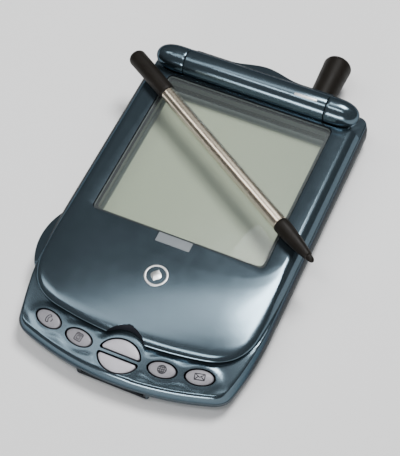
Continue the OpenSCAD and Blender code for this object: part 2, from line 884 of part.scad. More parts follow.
rear_cover();
front_housing();
left_knuckle();
right_knuckle();
hinge_shaft();
hinge_pivot_tube();
main_board();
radio_shield();
processor_shield();
battery_pack();
lcd_panel();
lcd_frame();
touch_panel();
writing_area_plate();
button_board();
button_domes();
dock_connector();
dock_contacts();
headset_jack();
jog_switch();
power_switch();
ringer_switch();
ringer_speaker();
microphone();
vibration_motor();
vibration_weight();
sim_socket();
sim_tray();
sim_card();
infrared_window();
stylus_silo();
antenna_stub();
antenna_stud();
antenna_insert();
housing_screws();
lid_shell();
lid_window();
lid_inner_panel();
lid_light_tab();
lid_emblem();
lid_bumpers();
earpiece_speaker();
lid_flex_cable();
lid_screws();
hinge_barrel();
hinge_detent_housing();
phone_button();
calendar_button();
web_button();
mail_button();
scroll_up_button();
scroll_down_button();
jog_carriage();
jog_rocker();
power_button();
ringer_slider();
stylus_barrel();
stylus_tip();
stylus_cap();
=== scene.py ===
import math

import bmesh
import bpy
from mathutils import Matrix, Vector


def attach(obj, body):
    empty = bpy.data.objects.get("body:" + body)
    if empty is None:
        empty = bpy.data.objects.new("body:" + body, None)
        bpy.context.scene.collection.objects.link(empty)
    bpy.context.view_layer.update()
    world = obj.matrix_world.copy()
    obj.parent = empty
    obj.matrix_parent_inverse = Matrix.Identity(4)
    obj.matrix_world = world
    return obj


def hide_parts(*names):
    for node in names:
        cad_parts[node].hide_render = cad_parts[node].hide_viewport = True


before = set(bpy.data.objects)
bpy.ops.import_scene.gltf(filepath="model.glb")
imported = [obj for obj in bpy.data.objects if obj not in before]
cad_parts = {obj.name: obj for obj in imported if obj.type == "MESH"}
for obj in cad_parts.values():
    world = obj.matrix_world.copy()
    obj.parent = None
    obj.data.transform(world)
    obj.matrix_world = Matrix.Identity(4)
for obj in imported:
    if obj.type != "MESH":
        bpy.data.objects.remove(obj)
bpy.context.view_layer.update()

MM = 0.001

# ------------------------------------------------------------------ sizes, in mm
# These repeat the driving sizes of the CAD model, so each surface lies on its solid.

BODY_W, BODY_TOP, BODY_FOOT = 67.8, 52.6, 54.2
FOOT_ARC, TAPER_Y, REAR_CORNER = 80, -24, 3.2
SPLIT_Z, FACE_Z = 5.2, 10.2
LID_W, LID_FOOT, LID_Z, LID_REAR = 66.8, 44, 14.5, 43
LID_ARC, LID_TAPER_Y, LID_TAPER_R = 105, -12, 150
BARREL_R, HINGE_Y, HINGE_Z, SEAM_X, KNUCKLE_X = 3.95, 45.8, 16.8, 22.1, 31.8
CHIN_Y, CHIN_Z, CHIN_TILT, KEY_ARC = -48.2, 8.88, math.radians(9.6), 88
KEY_X, KEY_L, KEY_B, KEY_PROUD = (-22, -12.1, 12.1, 22), 7.4, 4.1, 0.45
SCROLL_X, SCROLL_Y = 5.65, 4.6
NOTCH_R = 7.1
JOG_Y = -21.5
SCREEN_X, SCREEN_TOP, SCREEN_FOOT = 24.6, 38.6, -37.4
WINDOW_X, WINDOW_TOP, WINDOW_FOOT = 25.65, 41, -11.25
ANTENNA_X, ANTENNA_Z, ANTENNA_R, ANTENNA_FLARE, ANTENNA_TIP = 17.3, 8.2, 3.75, 4.35, 70.4
SILO_X, SILO_Z = 28.9, 5.4
STYLUS_LEN, STYLUS_R, CAP_R, CAP_LEN, TIP_LEN = 88.4, 2.2, 2.65, 17.8, 15
STYLUS_AT, STYLUS_TURN = (0.1, 18.04, LID_Z + CAP_R + 0.15), math.radians(-32.2)

# Height, inset, set-back and side radius of the closed body, back to front.
BODY_LEVELS = [
    (0, 4.2, 0, 95), (0.35, 2.9, 0, 95), (1.1, 1.7, 0, 95), (2.2, 0.75, 0, 95), (3.4, 0.2, 0, 95),
    (4.6, 0, 0, 90), (5.8, 0, 0, 82), (6.6, 0.03, 0.07, 76), (7.2, 0.06, 0.22, 72),
    (7.7, 0.1, 0.5, 68), (8.05, 0.15, 0.95, 66), (8.3, 0.2, 2.6, 65), (8.6, 0.25, 4.3, 64),
    (9.3, 0.4, 8.4, 62), (9.85, 0.55, 11.6, 62), (FACE_Z, 0.9, 13.7, 62),
]
# Height, inset and set-back of the lid, underside first.
LID_LEVELS = [
    (LID_Z - depth, inset, back) for depth, inset, back in [
        (3.88, 0.5, 0.3), (3.75, 0.22, 0.1), (3.3, 0, 0), (2.8, 0.06, 0.4), (2.35, 0.25, 1.1),
        (2, 0.5, 2.2), (1.6, 0.8, 4.6), (1.15, 1.15, 8), (0.7, 1.6, 11.8), (0.35, 2.05, 15.4),
        (0.12, 2.6, 18.8), (0, 3.2, 22.4),
    ]
]

# ------------------------------------------------------------------ materials


class Paint:
    """A node material with a Principled shader, built up one effect at a time."""

    def __init__(self, name, color, rough, metal=0.0, coat=0.0, coat_rough=0.1, specular=0.5):
        self.mat = bpy.data.materials.new(name)
        self.mat.use_nodes = True
        self.nodes, self.links = self.mat.node_tree.nodes, self.mat.node_tree.links
        self.shader = self.nodes["Principled BSDF"]
        self.set("Base Color", (*color, 1))
        self.set("Roughness", rough)
        self.set("Metallic", metal)
        self.set("Coat Weight", coat)
        self.set("Coat Roughness", coat_rough)
        self.set("Specular IOR Level", specular)
        self.place = self.nodes.new("ShaderNodeTexCoord").outputs["Object"]
        self.bump = None

    def set(self, socket, value):
        self.shader.inputs[socket].default_value = value

    def new(self, kind, **values):
        node = self.nodes.new(kind)
        for key, value in values.items():
            setattr(node, key, value)
        return node

    def stretched(self, stretch):
        mapping = self.new("ShaderNodeMapping")
        mapping.inputs["Scale"].default_value = stretch
        self.links.new(self.place, mapping.inputs["Vector"])
        return mapping.outputs["Vector"]

    def noise(self, scale, detail=3.0, stretch=(1, 1, 1)):
        noise = self.new("ShaderNodeTexNoise")
        noise.inputs["Scale"].default_value = scale
        noise.inputs["Detail"].default_value = detail
        self.links.new(self.stretched(stretch), noise.inputs["Vector"])
        return noise.outputs["Fac"]

    def cells(self, scale):
        cells = self.new("ShaderNodeTexVoronoi")
        cells.inputs["Scale"].default_value = scale
        self.links.new(self.place, cells.inputs["Vector"])
        return cells

    def ramp(self, source, low, high, from_value, to_value):
        ramp = self.new("ShaderNodeMapRange")
        ends = {"From Min": low, "From Max": high, "To Min": from_value, "To Max": to_value}
        for key, value in ends.items():
            ramp.inputs[key].default_value = value
        self.links.new(source, ramp.inputs["Value"])
        return ramp.outputs["Result"]

    def tint(self, source, other, low=0.35, high=0.65, strength=1.0):
        """Mixes the base colour towards other where source is high."""
        mix = self.new("ShaderNodeMix", data_type="RGBA")
        self.links.new(self.ramp(source, low, high, 0, strength), mix.inputs["Factor"])
        base = self.shader.inputs["Base Color"]
        if base.is_linked:
            self.links.new(base.links[0].from_socket, mix.inputs["A"])
        else:
            mix.inputs["A"].default_value = base.default_value
        mix.inputs["B"].default_value = (*other, 1)
        self.links.new(mix.outputs["Result"], base)
        return self

    def rough(self, source, low, high):
        self.links.new(self.ramp(source, 0.3, 0.7, low, high), self.shader.inputs["Roughness"])
        return self

    def relief(self, source, strength, distance):
        bump = self.new("ShaderNodeBump")
        bump.inputs["Strength"].default_value = strength
        bump.inputs["Distance"].default_value = distance * MM
        self.links.new(source, bump.inputs["Height"])
        if self.bump:
            self.links.new(self.bump, bump.inputs["Normal"])
        self.bump = bump.outputs["Normal"]
        self.links.new(self.bump, self.shader.inputs["Normal"])
        return self


def lacquer(name, color, light, rough=0.175, metal=0.86):
    """Metallic lacquer: fine flakes, a slow drift of tone and a clear coat."""
    paint = Paint(name, color, rough, metal, coat=0.05, coat_rough=0.1)
    paint.set("Specular Tint", (0.05, 0.06, 0.07, 1))
    paint.tint(paint.noise(45, 2), light, 0.3, 0.7, 0.15)
    flakes = paint.cells(5200)
    paint.tint(flakes.outputs["Distance"], light, 0.1, 0.75, 0.4)
    paint.rough(paint.noise(300, 4), rough - 0.01, rough + 0.015)
    paint.relief(flakes.outputs["Distance"], 0.04, 0.006)
    return paint.relief(paint.noise(900, 3), 0.02, 0.006)


def plastic(name, color, rough, light=None, grain=2600, depth=0.012):
    """Moulded plastic with a fine spark-eroded grain and a few paler scuffs."""
    paint = Paint(name, color, rough, specular=0.16)
    light = light or tuple(min(1, c * 1.5 + 0.01) for c in color)
    paint.tint(paint.noise(160, 5), light, 0.45, 0.8, 0.5)
    paint.rough(paint.noise(420, 4), rough - 0.05, rough + 0.07)
    return paint.relief(paint.noise(grain, 2), 0.35, depth)


def brushed(name, color, light, rough, stretch, scale=900):
    """Metal with fine parallel drawing marks."""
    paint = Paint(name, color, rough, metal=1.0)
    marks = paint.noise(scale, 5, stretch)
    paint.tint(marks, light, 0.35, 0.65, 0.4)
    paint.rough(marks, rough - 0.02, rough + 0.04)
    return paint.relief(marks, 0.04, 0.004)


def clear_plate(name, color, edge):
    """A clear polished plate: seen through, it mirrors more at a glancing angle."""
    paint = Paint(name, color, 0.04, specular=0.6)
    mix = paint.new("ShaderNodeMixShader")
    see = paint.new("ShaderNodeBsdfTransparent")
    see.inputs["Color"].default_value = (0.97, 0.98, 0.97, 1)
    fresnel = paint.new("ShaderNodeFresnel")
    fresnel.inputs["IOR"].default_value = 1.45
    share = paint.ramp(fresnel.outputs["Fac"], 0, 1, edge, 1)
    paint.links.new(share, mix.inputs["Fac"])
    paint.links.new(see.outputs[0], mix.inputs[1])
    paint.links.new(paint.shader.outputs[0], mix.inputs[2])
    paint.links.new(mix.outputs[0], paint.nodes["Material Output"].inputs["Surface"])
    return paint.relief(paint.noise(60, 2), 0.005, 0.01)


def screen_face():
    """Reflective liquid crystal: sage green with a faint grid of picture cells."""
    paint = Paint("screen_face", (0.56, 0.60, 0.46), 0.42, coat=0.15, coat_rough=0.25)
    paint.tint(paint.noise(22, 1), (0.59, 0.61, 0.49), 0.35, 0.65, 0.7)
    for axis in ("X", "Y"):
        lines = paint.new("ShaderNodeTexWave", wave_type="BANDS", bands_direction=axis,
                          wave_profile="SIN")
        lines.inputs["Scale"].default_value = 520
        paint.links.new(paint.place, lines.inputs["Vector"])
        paint.tint(lines.outputs["Fac"], (0.36, 0.40, 0.30), 0.86, 1.0, 0.22)
    return paint


BLUE_GREY = (0.088, 0.125, 0.152)
BLUE_LIGHT = (0.115, 0.158, 0.188)
LACQUER = lacquer("blue_grey_lacquer", BLUE_GREY, BLUE_LIGHT)
BACK_LACQUER = lacquer("rear_lacquer", (0.06, 0.08, 0.095), (0.09, 0.115, 0.135), 0.36, 0.6)
KEY_LACQUER = lacquer("silver_lilac_lacquer", (0.40, 0.39, 0.425), (0.50, 0.49, 0.53), 0.5, 0.35)
OVAL_LACQUER = lacquer("grey_lilac_lacquer", (0.20, 0.195, 0.215), (0.33, 0.325, 0.35), 0.52,
                       0.35)
CHAMPAGNE = brushed("drawn_champagne", (0.86, 0.75, 0.58), (0.93, 0.84, 0.69), 0.25, (1, 1, 1),
                    4200)
STEEL = brushed("plain_steel", (0.48, 0.48, 0.49), (0.62, 0.62, 0.63), 0.3, (1, 14, 14))
EMBLEM = brushed("satin_silver", (0.5, 0.5, 0.49), (0.62, 0.62, 0.61), 0.34, (1, 14, 14))
BLACK = plastic("warm_black_plastic", (0.007, 0.0055, 0.004), 0.5, (0.012, 0.01, 0.008), 3200,
                0.008)
# Dark plastic of the inner parts; on the walls of the lid's trough and of the knuckles' end cuts it
# is painted shade in the gaps round the barrel.
DARK_PLASTIC_AND_SHADE = plastic("inner_plastic_and_gap_shade", (0.018, 0.02, 0.023), 0.5)
# Near-black on the walls that cutters leave in the shells: painted shade in the key wells, slots,
# grooves, recesses, the window recess and the thumb notch.
PAINTED_GAP_SHADE = plastic("painted_gap_shade", (0.004, 0.005, 0.009), 0.7)
LEDGE = plastic("window_ledge", (0.10, 0.12, 0.12), 0.35, (0.16, 0.18, 0.17))
ICON_INK = plastic("pictogram_ink", (0.02, 0.02, 0.024), 0.5)
FROSTED = plastic("frosted_tab", (0.19, 0.21, 0.225), 0.5, (0.24, 0.26, 0.275))
SCREEN = screen_face()
PRINTED = plastic("printed_plate", (0.36, 0.39, 0.33), 0.45, (0.42, 0.44, 0.38))
WINDOW = clear_plate("window_plate", (0.30, 0.33, 0.33), 0.03)
TOUCH = clear_plate("touch_plate", (0.33, 0.36, 0.33), 0.02)
GOLD = brushed("gold_flash", (0.72, 0.5, 0.2), (0.85, 0.64, 0.32), 0.26, (8, 1, 8))
BOARD = plastic("board_green", (0.012, 0.06, 0.025), 0.35, (0.02, 0.1, 0.05))
BATTERY = plastic("battery_wrap", (0.02, 0.06, 0.14), 0.4)
RUBBER = plastic("pad_rubber", (0.012, 0.012, 0.013), 0.8)
CARD = plastic("card_cream", (0.62, 0.55, 0.34), 0.4)
FLEX = plastic("flex_amber", (0.32, 0.12, 0.02), 0.35)

# ------------------------------------------------------------------ mesh helpers

EDGE_ANGLE = 32  # degrees between faces from which an edge is bevelled or shaded as sharp
TURNED_ANGLE = 40  # the same on turned pieces
WELD, SLIVER = 0.004, 0.002  # mm: what a cut may leave that is joined or dissolved
CAP_INSET = 0.25  # mm: the ring inside each end of a loft
AXIS_R = 0.01  # mm: the least radius of a turned ring


def to_object(name, mesh_maker, *paints):
    """A smooth-shaded object from what mesh_maker puts in a bmesh, drawn in mm."""
    bm = bmesh.new()
    mesh_maker(bm)
    bmesh.ops.scale(bm, vec=(MM, MM, MM), verts=bm.verts)
    bmesh.ops.recalc_face_normals(bm, faces=bm.faces)
    mesh = bpy.data.meshes.new(name)
    bm.to_mesh(mesh)
    bm.free()
    obj = bpy.data.objects.new(name, mesh)
    bpy.context.scene.collection.objects.link(obj)
    for paint in paints:
        mesh.materials.append(paint.mat)
    mesh.shade_smooth()
    return obj


def crisp(obj, angle=EDGE_ANGLE):
    """Shades edges that turn by more than angle, in degrees, as sharp."""
    obj.data.set_sharp_from_angle(angle=math.radians(angle))
    return obj


def soften(obj, width, segments):
    """Bevels the sharp edges by width in mm, and keeps what is still sharp crisp."""
    bevel = obj.modifiers.new("bevel", "BEVEL")
    bevel.width = width * MM
    bevel.segments = segments
    bevel.limit_method = "ANGLE"
    bevel.angle_limit = math.radians(EDGE_ANGLE)
    bake(obj)
    return crisp(obj)


def bake(obj):
    """Applies the object's modifiers to its mesh."""
    bpy.context.view_layer.update()
    graph = bpy.context.evaluated_depsgraph_get()
    ready = bpy.data.meshes.new_from_object(obj.evaluated_get(graph))
    obj.modifiers.clear()
    obj.data = ready


def cut(obj, *cutters):
    """Takes the cutters out of obj, which keeps their paint on the new faces."""
    for cutter in cutters:
        boolean = obj.modifiers.new("cut", "BOOLEAN")
        boolean.operation = "DIFFERENCE"
        boolean.solver = "EXACT"
        boolean.material_mode = "TRANSFER"
        boolean.object = cutter
    bake(obj)
    for cutter in cutters:
        bpy.data.objects.remove(cutter)
    bm = bmesh.new()
    bm.from_mesh(obj.data)
    bmesh.ops.remove_doubles(bm, verts=bm.verts, dist=WELD * MM)
    bmesh.ops.dissolve_degenerate(bm, edges=bm.edges, dist=SLIVER * MM)
    bm.to_mesh(obj.data)
    bm.free()
    return crisp(obj)


def skin(rings):
    """A mesh maker that lofts and caps rings of (x, y, z) points, each with the same count."""
    def make(bm):
        rows = [[bm.verts.new(p) for p in ring] for ring in rings]
        count = len(rows[0])
        for low, high in zip(rows, rows[1:]):
            for k in range(count):
                m = (k + 1) % count
                bm.faces.new((low[k], low[m], high[m], high[k]))
        bm.faces.new(list(reversed(rows[0])))
        bm.faces.new(rows[-1])
    return make


def framed(ring_at, levels):
    """Rings at each level, with a slightly smaller ring inside each end so the caps shade flat."""
    rings = [ring_at(level) for level in levels]

    def shrunk(ring):
        cx = sum(p[0] for p in ring) / len(ring)
        cy = sum(p[1] for p in ring) / len(ring)
        reach = max(abs(p[0] - cx) for p in ring)
        k = 1 - CAP_INSET / reach
        return [(cx + (x - cx) * k, cy + (y - cy) * k, z) for x, y, z in ring]

    return [shrunk(rings[0])] + rings + [shrunk(rings[-1])]


def prism(outline, z0, z1, flare=None):
    """A mesh maker for an extruded outline; flare is (height, growth) of a lip at the top."""
    def grown(by):
        cx = sum(p[0] for p in outline) / len(outline)
        cy = sum(p[1] for p in outline) / len(outline)
        out = []
        for x, y in outline:
            d = math.hypot(x - cx, y - cy)
            out.append((x + (x - cx) / d * by, y + (y - cy) / d * by))
        return out

    rings = [[(x, y, z0) for x, y in outline]]
    if flare:
        height, growth = flare
        steps = 5
        for i in range(steps + 1):
            t = i / steps * math.pi / 2
            ring = grown(growth * (1 - math.cos(t)))
            rings.append([(x, y, height - growth * (1 - math.sin(t))) for x, y in ring])
        rings.append([(x, y, z1) for x, y in grown(growth * 1.6)])
    else:
        rings.append([(x, y, z1) for x, y in outline])
    return skin(rings)


def oval_arc(cx, cy, rx, ry, start, stop, steps=18):
    """Points about (cx, cy) from the angle start to stop, in degrees."""
    angles = [math.radians(start + (stop - start) * i / steps) for i in range(steps + 1)]
    return [(cx + rx * math.cos(a), cy + ry * math.sin(a)) for a in angles]


def arc(cx, cy, r, start, stop, steps):
    """The same on a circle."""
    return oval_arc(cx, cy, r, r, start, stop, steps)


def rounded_rect(x0, x1, y0, y1, r, steps=8):
    """A rectangle whose corners are arcs of the radius r."""
    corners = ((x1 - r, y0 + r), (x1 - r, y1 - r), (x0 + r, y1 - r), (x0 + r, y0 + r))
    points = []
    for (cx, cy), start in zip(corners, (-90, 0, 90, 180)):
        points += arc(cx, cy, r, start, start + 90, steps)
    return points


def ellipse(length, breadth, steps=56):
    angles = [math.tau * i / steps for i in range(steps)]
    return [(length / 2 * math.cos(a), breadth / 2 * math.sin(a)) for a in angles]


def circle(r):
    return ellipse(2 * r, 2 * r, 36)


def turned(profile, steps=96):
    """A mesh maker for profile, a list of (radius, distance along +Z), turned about Z."""
    angles = [math.tau * i / steps for i in range(steps)]

    def ring(r, z):
        return [(r * math.cos(a), r * math.sin(a), z) for a in angles]

    return skin([ring(max(r, AXIS_R), z) for r, z in profile])


ALONG_X = Matrix.Rotation(math.radians(90), 4, "Y")
ALONG_Y = Matrix.Rotation(math.radians(-90), 4, "X")


def placed(obj, at, turn=None):
    """Moves the mesh itself, so the object stays at the origin."""
    matrix = Matrix.Translation(Vector(at) * MM)
    if turn is not None:
        matrix = matrix @ turn
    obj.data.transform(matrix)
    return obj


def settle(obj, body, slot, *nodes):
    """Makes a finished piece ride on its body, in place of CAD nodes, which it hides. slot is not
    used.
    """
    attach(obj, body)
    if nodes:
        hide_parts(*nodes)


def joined(name, objs):
    """One object from several, keeping their paints."""
    base = objs[0]
    base.name = name
    with bpy.context.temp_override(active_object=base, selected_editable_objects=objs):
        bpy.ops.object.join()
    return base


# ------------------------------------------------------------------ outlines


def smooth(t):
    """Eases from 0 to 1 as t goes from 0 to 1, and stays there outside."""
    t = max(0.0, min(1.0, t))
    return t * t * (3 - 2 * t)


def sag(d, r):
    """How far an arc of radius r falls back at the distance d from its middle."""
    return d * d / (2 * r)


def bend(a, c, b, s):
    """The point at s, from 0 to 1, on the curve from a to b that is drawn towards c."""
    return tuple((1 - s) ** 2 * a[i] + 2 * s * (1 - s) * c[i] + s * s * b[i] for i in (0, 1))


def along(table, key):
    """The columns after the first of table at key, on a smooth curve through its rows."""
    i = max(1, min(len(table) - 1, sum(1 for row in table if row[0] < key)))
    a, b = table[i - 1], table[i]
    before = table[i - 2] if i > 1 else a
    after = table[i + 1] if i + 1 < len(table) else b
    span = b[0] - a[0]
    s = (key - a[0]) / span
    out = []
    for col in range(1, len(a)):
        here = (b[col] - a[col]) / span
        slopes = []
        for low, high in ((before, a), (b, after)):
            other = (high[col] - low[col]) / (high[0] - low[0]) if high[0] != low[0] else here
            slopes.append(0 if here * other <= 0 else 2 * here * other / (here + other))
        m0, m1 = slopes[0] * span, slopes[1] * span
        out.append((2 * s**3 - 3 * s**2 + 1) * a[col] + (s**3 - 2 * s**2 + s) * m0
                   + (-2 * s**3 + 3 * s**2) * b[col] + (s**3 - s**2) * m1)
    return out


def mirrored(half, z):
    """A whole ring at the height z, from its right half."""
    return [(x, y, z) for x, y in half] + [(-x, y, z) for x, y in half[:0:-1]]


def body_ring(z, shrink=0.0):
    """The closed body's outline at the height z, drawn in by shrink."""
    inset, back, side_r = along(BODY_LEVELS, z)
    inset += shrink

    def side(y):
        return BODY_W / 2 - inset - sag(max(0, TAPER_Y - y), side_r)

    def foot(x):
        return -BODY_FOOT + inset + back + sag(x, FOOT_ARC)

    foot_x, corner_len = 27.5 - inset, 2.6
    turn_y = foot(side(foot(30)))
    start = (foot_x, foot(foot_x))
    corner = (side(turn_y), turn_y)
    end = (side(turn_y + corner_len), turn_y + corner_len)
    half = [(foot_x * i / 34, foot(foot_x * i / 34)) for i in range(35)]
    half += [bend(start, corner, end, i / 12) for i in range(1, 13)]
    half += [(side(y), y) for y in (end[1] + (TAPER_Y - end[1]) * i / 12 for i in range(1, 13))]
    straight = BODY_TOP - REAR_CORNER - TAPER_Y
    half += [(BODY_W / 2 - inset, TAPER_Y + straight * i / 6) for i in range(1, 6)]
    turn_r = max(0.4, REAR_CORNER - inset)
    half += arc(BODY_W / 2 - inset - turn_r, BODY_TOP - inset - turn_r, turn_r, 0, 90, 12)
    half += [((BODY_W / 2 - inset - turn_r) * (1 - i / 6), BODY_TOP - inset) for i in range(1, 6)]
    return mirrored(half, z)


def lid_ring(z):
    """The lid's outline at the height z."""
    inset, back = along(LID_LEVELS, z)

    def side(y):
        return LID_W / 2 - inset - sag(max(0, LID_TAPER_Y - y), LID_TAPER_R)

    def foot(x):
        return -LID_FOOT + inset + back + sag(x, LID_ARC)

    foot_x, corner_len = 22 - inset, 9
    turn_y = foot(side(foot(32)))
    start = (foot_x, foot(foot_x))
    corner = (side(turn_y), turn_y)
    end = (side(turn_y + corner_len), turn_y + corner_len)
    half = [(foot_x * i / 30, foot(foot_x * i / 30)) for i in range(31)]
    half += [bend(start, corner, end, i / 18) for i in range(1, 19)]
    half += [(side(y), y) for y in (end[1] + (LID_REAR - end[1]) * i / 14 for i in range(1, 15))]
    half += [((LID_W / 2 - inset) * (1 - i / 8), LID_REAR) for i in range(1, 8)]
    return mirrored(half, z)


def chin_spot_y(x):
    """Where the keys' curved row lies at x."""
    return CHIN_Y + sag(x, KEY_ARC)


def on_chin(x):
    """The frame of a key: origin on the key panel's face, local Z out of it."""
    turn = Matrix.Rotation(math.atan(x / KEY_ARC), 4, "Z") @ Matrix.Rotation(CHIN_TILT, 4, "X")
    return (x, chin_spot_y(x), CHIN_Z), turn


def collar(x, y):
    """Height of the soft raised band whose wavy edge follows the keys."""
    height, edge, blend, half_row = 0.18, 1.5, 0.45, 2.4
    reaches = []
    for kx in KEY_X:
        a = math.atan(kx / KEY_ARC)
        dx, dy = x - kx, y - chin_spot_y(kx)
        lx, ly = dx * math.cos(a) + dy * math.sin(a), -dx * math.sin(a) + dy * math.cos(a)
        half_l, half_b = KEY_L / 2 + 1.8, KEY_B / 2 + 1.65
        reaches.append((math.hypot(lx / half_l, ly / half_b) - 1) * half_b)
    half_l, half_b = SCROLL_X + 1.6, SCROLL_Y + 1.6
    reaches.append((math.hypot(x / half_l, (y - CHIN_Y) / half_b) - 1) * half_b)
    if abs(x) < KEY_X[-1]:
        reaches.append(abs(y - chin_spot_y(x)) - half_row)
    near = sum(math.exp(-reach / blend) for reach in reaches if reach < 20 * blend) or 1e-9
    return height * smooth(0.5 + blend * math.log(near) / edge)


def half_moon(half_x, half_y, edge, corner=0.55):
    """The upper part of an oval cut by a straight edge, with rounded corners."""
    k = half_y / half_x
    reach = math.sqrt((half_x - corner) ** 2 - ((edge + corner) / k) ** 2)
    tilt = math.degrees(math.atan2((edge + corner) / k, reach))
    right = arc(reach, edge + corner, corner, -90, tilt, 6)
    left = [(-x, y) for x, y in reversed(right)]
    crown = [(x, y * k) for x, y in arc(0, 0, half_x, tilt + 3, 177 - tilt, 36)]
    return right[:-1] + crown + left[1:]


# ------------------------------------------------------------------ camera and lights


def add_camera():
    azimuth, elevation = math.radians(23.745), math.radians(55.578)
    sin_a, cos_a = math.sin(azimuth), math.cos(azimuth)
    sin_e, cos_e = math.sin(elevation), math.cos(elevation)
    right = (cos_a, sin_a, 0)
    up = (-sin_a * sin_e, cos_a * sin_e, cos_e)
    back = (sin_a * cos_e, -cos_a * cos_e, sin_e)
    target, distance = Vector((4.65, -5.86, 14.5)) * MM, 383.4 * MM
    data = bpy.data.cameras.new("camera")
    data.sensor_width = 36
    data.lens = 110.5
    data.clip_start = 0.01
    camera = bpy.data.objects.new("camera", data)
    turn = Matrix((right, up, back)).transposed().to_4x4()
    camera.matrix_world = Matrix.Translation(target + distance * Vector(back)) @ turn
    bpy.context.scene.collection.objects.link(camera)
    bpy.context.scene.camera = camera


def add_softbox(name, direction, distance, width, height, power, aim=(0, 0, 0)):
    """A soft lamp facing aim, in mm, from a direction. Its distance and size are in m."""
    data = bpy.data.lights.new(name, "AREA")
    data.shape = "RECTANGLE"
    data.size, data.size_y = width, height
    data.energy = power
    lamp = bpy.data.objects.new(name, data)
    away = Vector(direction).normalized()
    place = Vector(aim) * MM + away * distance
    turn = away.to_track_quat("Z", "Y").to_matrix().to_4x4()
    lamp.matrix_world = Matrix.Translation(place) @ turn
    bpy.context.scene.collection.objects.link(lamp)


def add_studio():
    """Soft lamps, each for one highlight, with a dim sky over a pale floor."""
    # the broad sheen on the lid's crown
    add_softbox("key_box", (0.12, 0.36, 0.925), 0.65, 0.21, 0.21, 4.6)
    # the band across the middle of the lid
    add_softbox("band_box", (-70, 55, 340), 0.35146, 0.4, 0.055, 0.23, aim=(0, 0, 10))
    # the key end and the rolled foot of the lid
    add_softbox("front_box", (0.03, -0.965, 0.16), 0.8, 0.46, 0.22, 5.6)
    add_softbox("rim_box", (-0.05, -0.32, 0.94), 0.8, 0.34, 0.12, 1.5)
    # the strip beside the window
    add_softbox("left_box", (-0.58, -0.06, 0.81), 0.8, 0.14, 0.26, 0.6)
    world = bpy.data.worlds.new("studio")
    world.use_nodes = True
    background = world.node_tree.nodes["Background"]
    background.inputs["Color"].default_value = (0.95, 0.97, 1.0, 1)
    background.inputs["Strength"].default_value = 0.09
    bpy.context.scene.world = world
    pale = Paint("pale_floor", (0.9, 0.9, 0.9), 0.9, specular=0.1)

    def square(bm):
        bmesh.ops.create_grid(bm, x_segments=4, y_segments=4, size=1500)

    floor = to_object("floor", square, pale)
    placed(floor, (0, 0, -0.02))


# ------------------------------------------------------------------ body shells

HUMP_HALF, HUMP_ROOT_Y = 11.5, 50.4
WELL_FLOOR, WELL_TOP = -2.4, 2  # of the keys' wells, from the key panel's face
SEAM, SEAM_DEPTH = 0.16, 0.03  # the groove between the shells
COLLAR_FOOT_Z, COLLAR_REAR_Y = 7.4, -36  # the raised band is only above and in front of these


def block(name, outline, z0, z1, paint, width):
    """An extruded outline with its edges rounded."""
    return soften(to_object(name, prism(outline, z0, z1), paint), width, 4)


def hump_crest(top):
    """The swell in the middle of the antenna end, right to left."""
    n = 14
    return [(HUMP_HALF * i / n, top + 1 + math.cos(math.pi * i / n)) for i in range(n, -n - 1, -1)]


def hump_outline():
    """The hump on both shells, seen from above."""
    return [(HUMP_HALF, HUMP_ROOT_Y)] + hump_crest(BODY_TOP) + [(-HUMP_HALF, HUMP_ROOT_Y)]


def head_outline():
    """The block behind the barrel, seen from above, which carries the hump up."""
    half, front, back = 21.8, 50.15, BODY_TOP - 0.02
    return [(-half, front), (half, front), (half, back)] + hump_crest(back) + [(-half, back)]


# The cutters below leave near-black painted shade on the walls they open, unless given another
# paint.
def rod(name, r, length, at, turn, paint=PAINTED_GAP_SHADE, steps=48):
    """A plain cutter along one axis."""
    obj = to_object(name, turned([(r, 0), (r, length)], steps), paint)
    return placed(obj, at, turn)


def box_cutter(name, x0, x1, y0, y1, z0, z1, r=0.25):
    """A block that cuts an opening, rounded as seen from above."""
    return to_object(name, prism(rounded_rect(x0, x1, y0, y1, r, 4), z0, z1), PAINTED_GAP_SHADE)


def side_cutter(name, x0, x1, z0, z1, y0, y1, r=0.9):
    """A rounded slot seen from the antenna end, from y0 to y1."""
    obj = to_object(name, prism(rounded_rect(x0, x1, -z1, -z0, r, 6), y0, y1), PAINTED_GAP_SHADE)
    return placed(obj, (0, 0, 0), ALONG_Y)


def end_holes():
    """The antenna's boss and the mouth of the silo, which both shells share."""
    return (rod("antenna_cut", 3.25, 8, (ANTENNA_X, 46, ANTENNA_Z), ALONG_Y),
            rod("silo_cut", 3.22, 14, (SILO_X, 42, SILO_Z), ALONG_Y))


def ringer_cutters(slot_top, room_top):
    """The slot that shows the ringer slider, and the room behind it."""
    return (side_cutter("ringer_cut", -2.8, 2.8, 6.6, slot_top, 50, 56, 0.7),
            box_cutter("ringer_room", -5.8, 5.8, 50, 53.2, 6, room_top))


def dock_cutter():
    """The dock connector's opening at the key end."""
    return box_cutter("dock_cut", -9.95, 9.95, -57, -44.4, 1.6, 4, 0.1)


def body_levels(z0, z1):
    """Heights of the front shell's rings, closest together where it is most curved."""
    levels = [z0, z0 + 0.12]
    z = z0 + 0.4
    while z < z1 - 0.02:
        levels.append(z)
        step = 0.05 if z >= 7.8 else 0.16 if z >= 6.2 or z < 2 else 0.35
        z += step
    return levels + [z1]


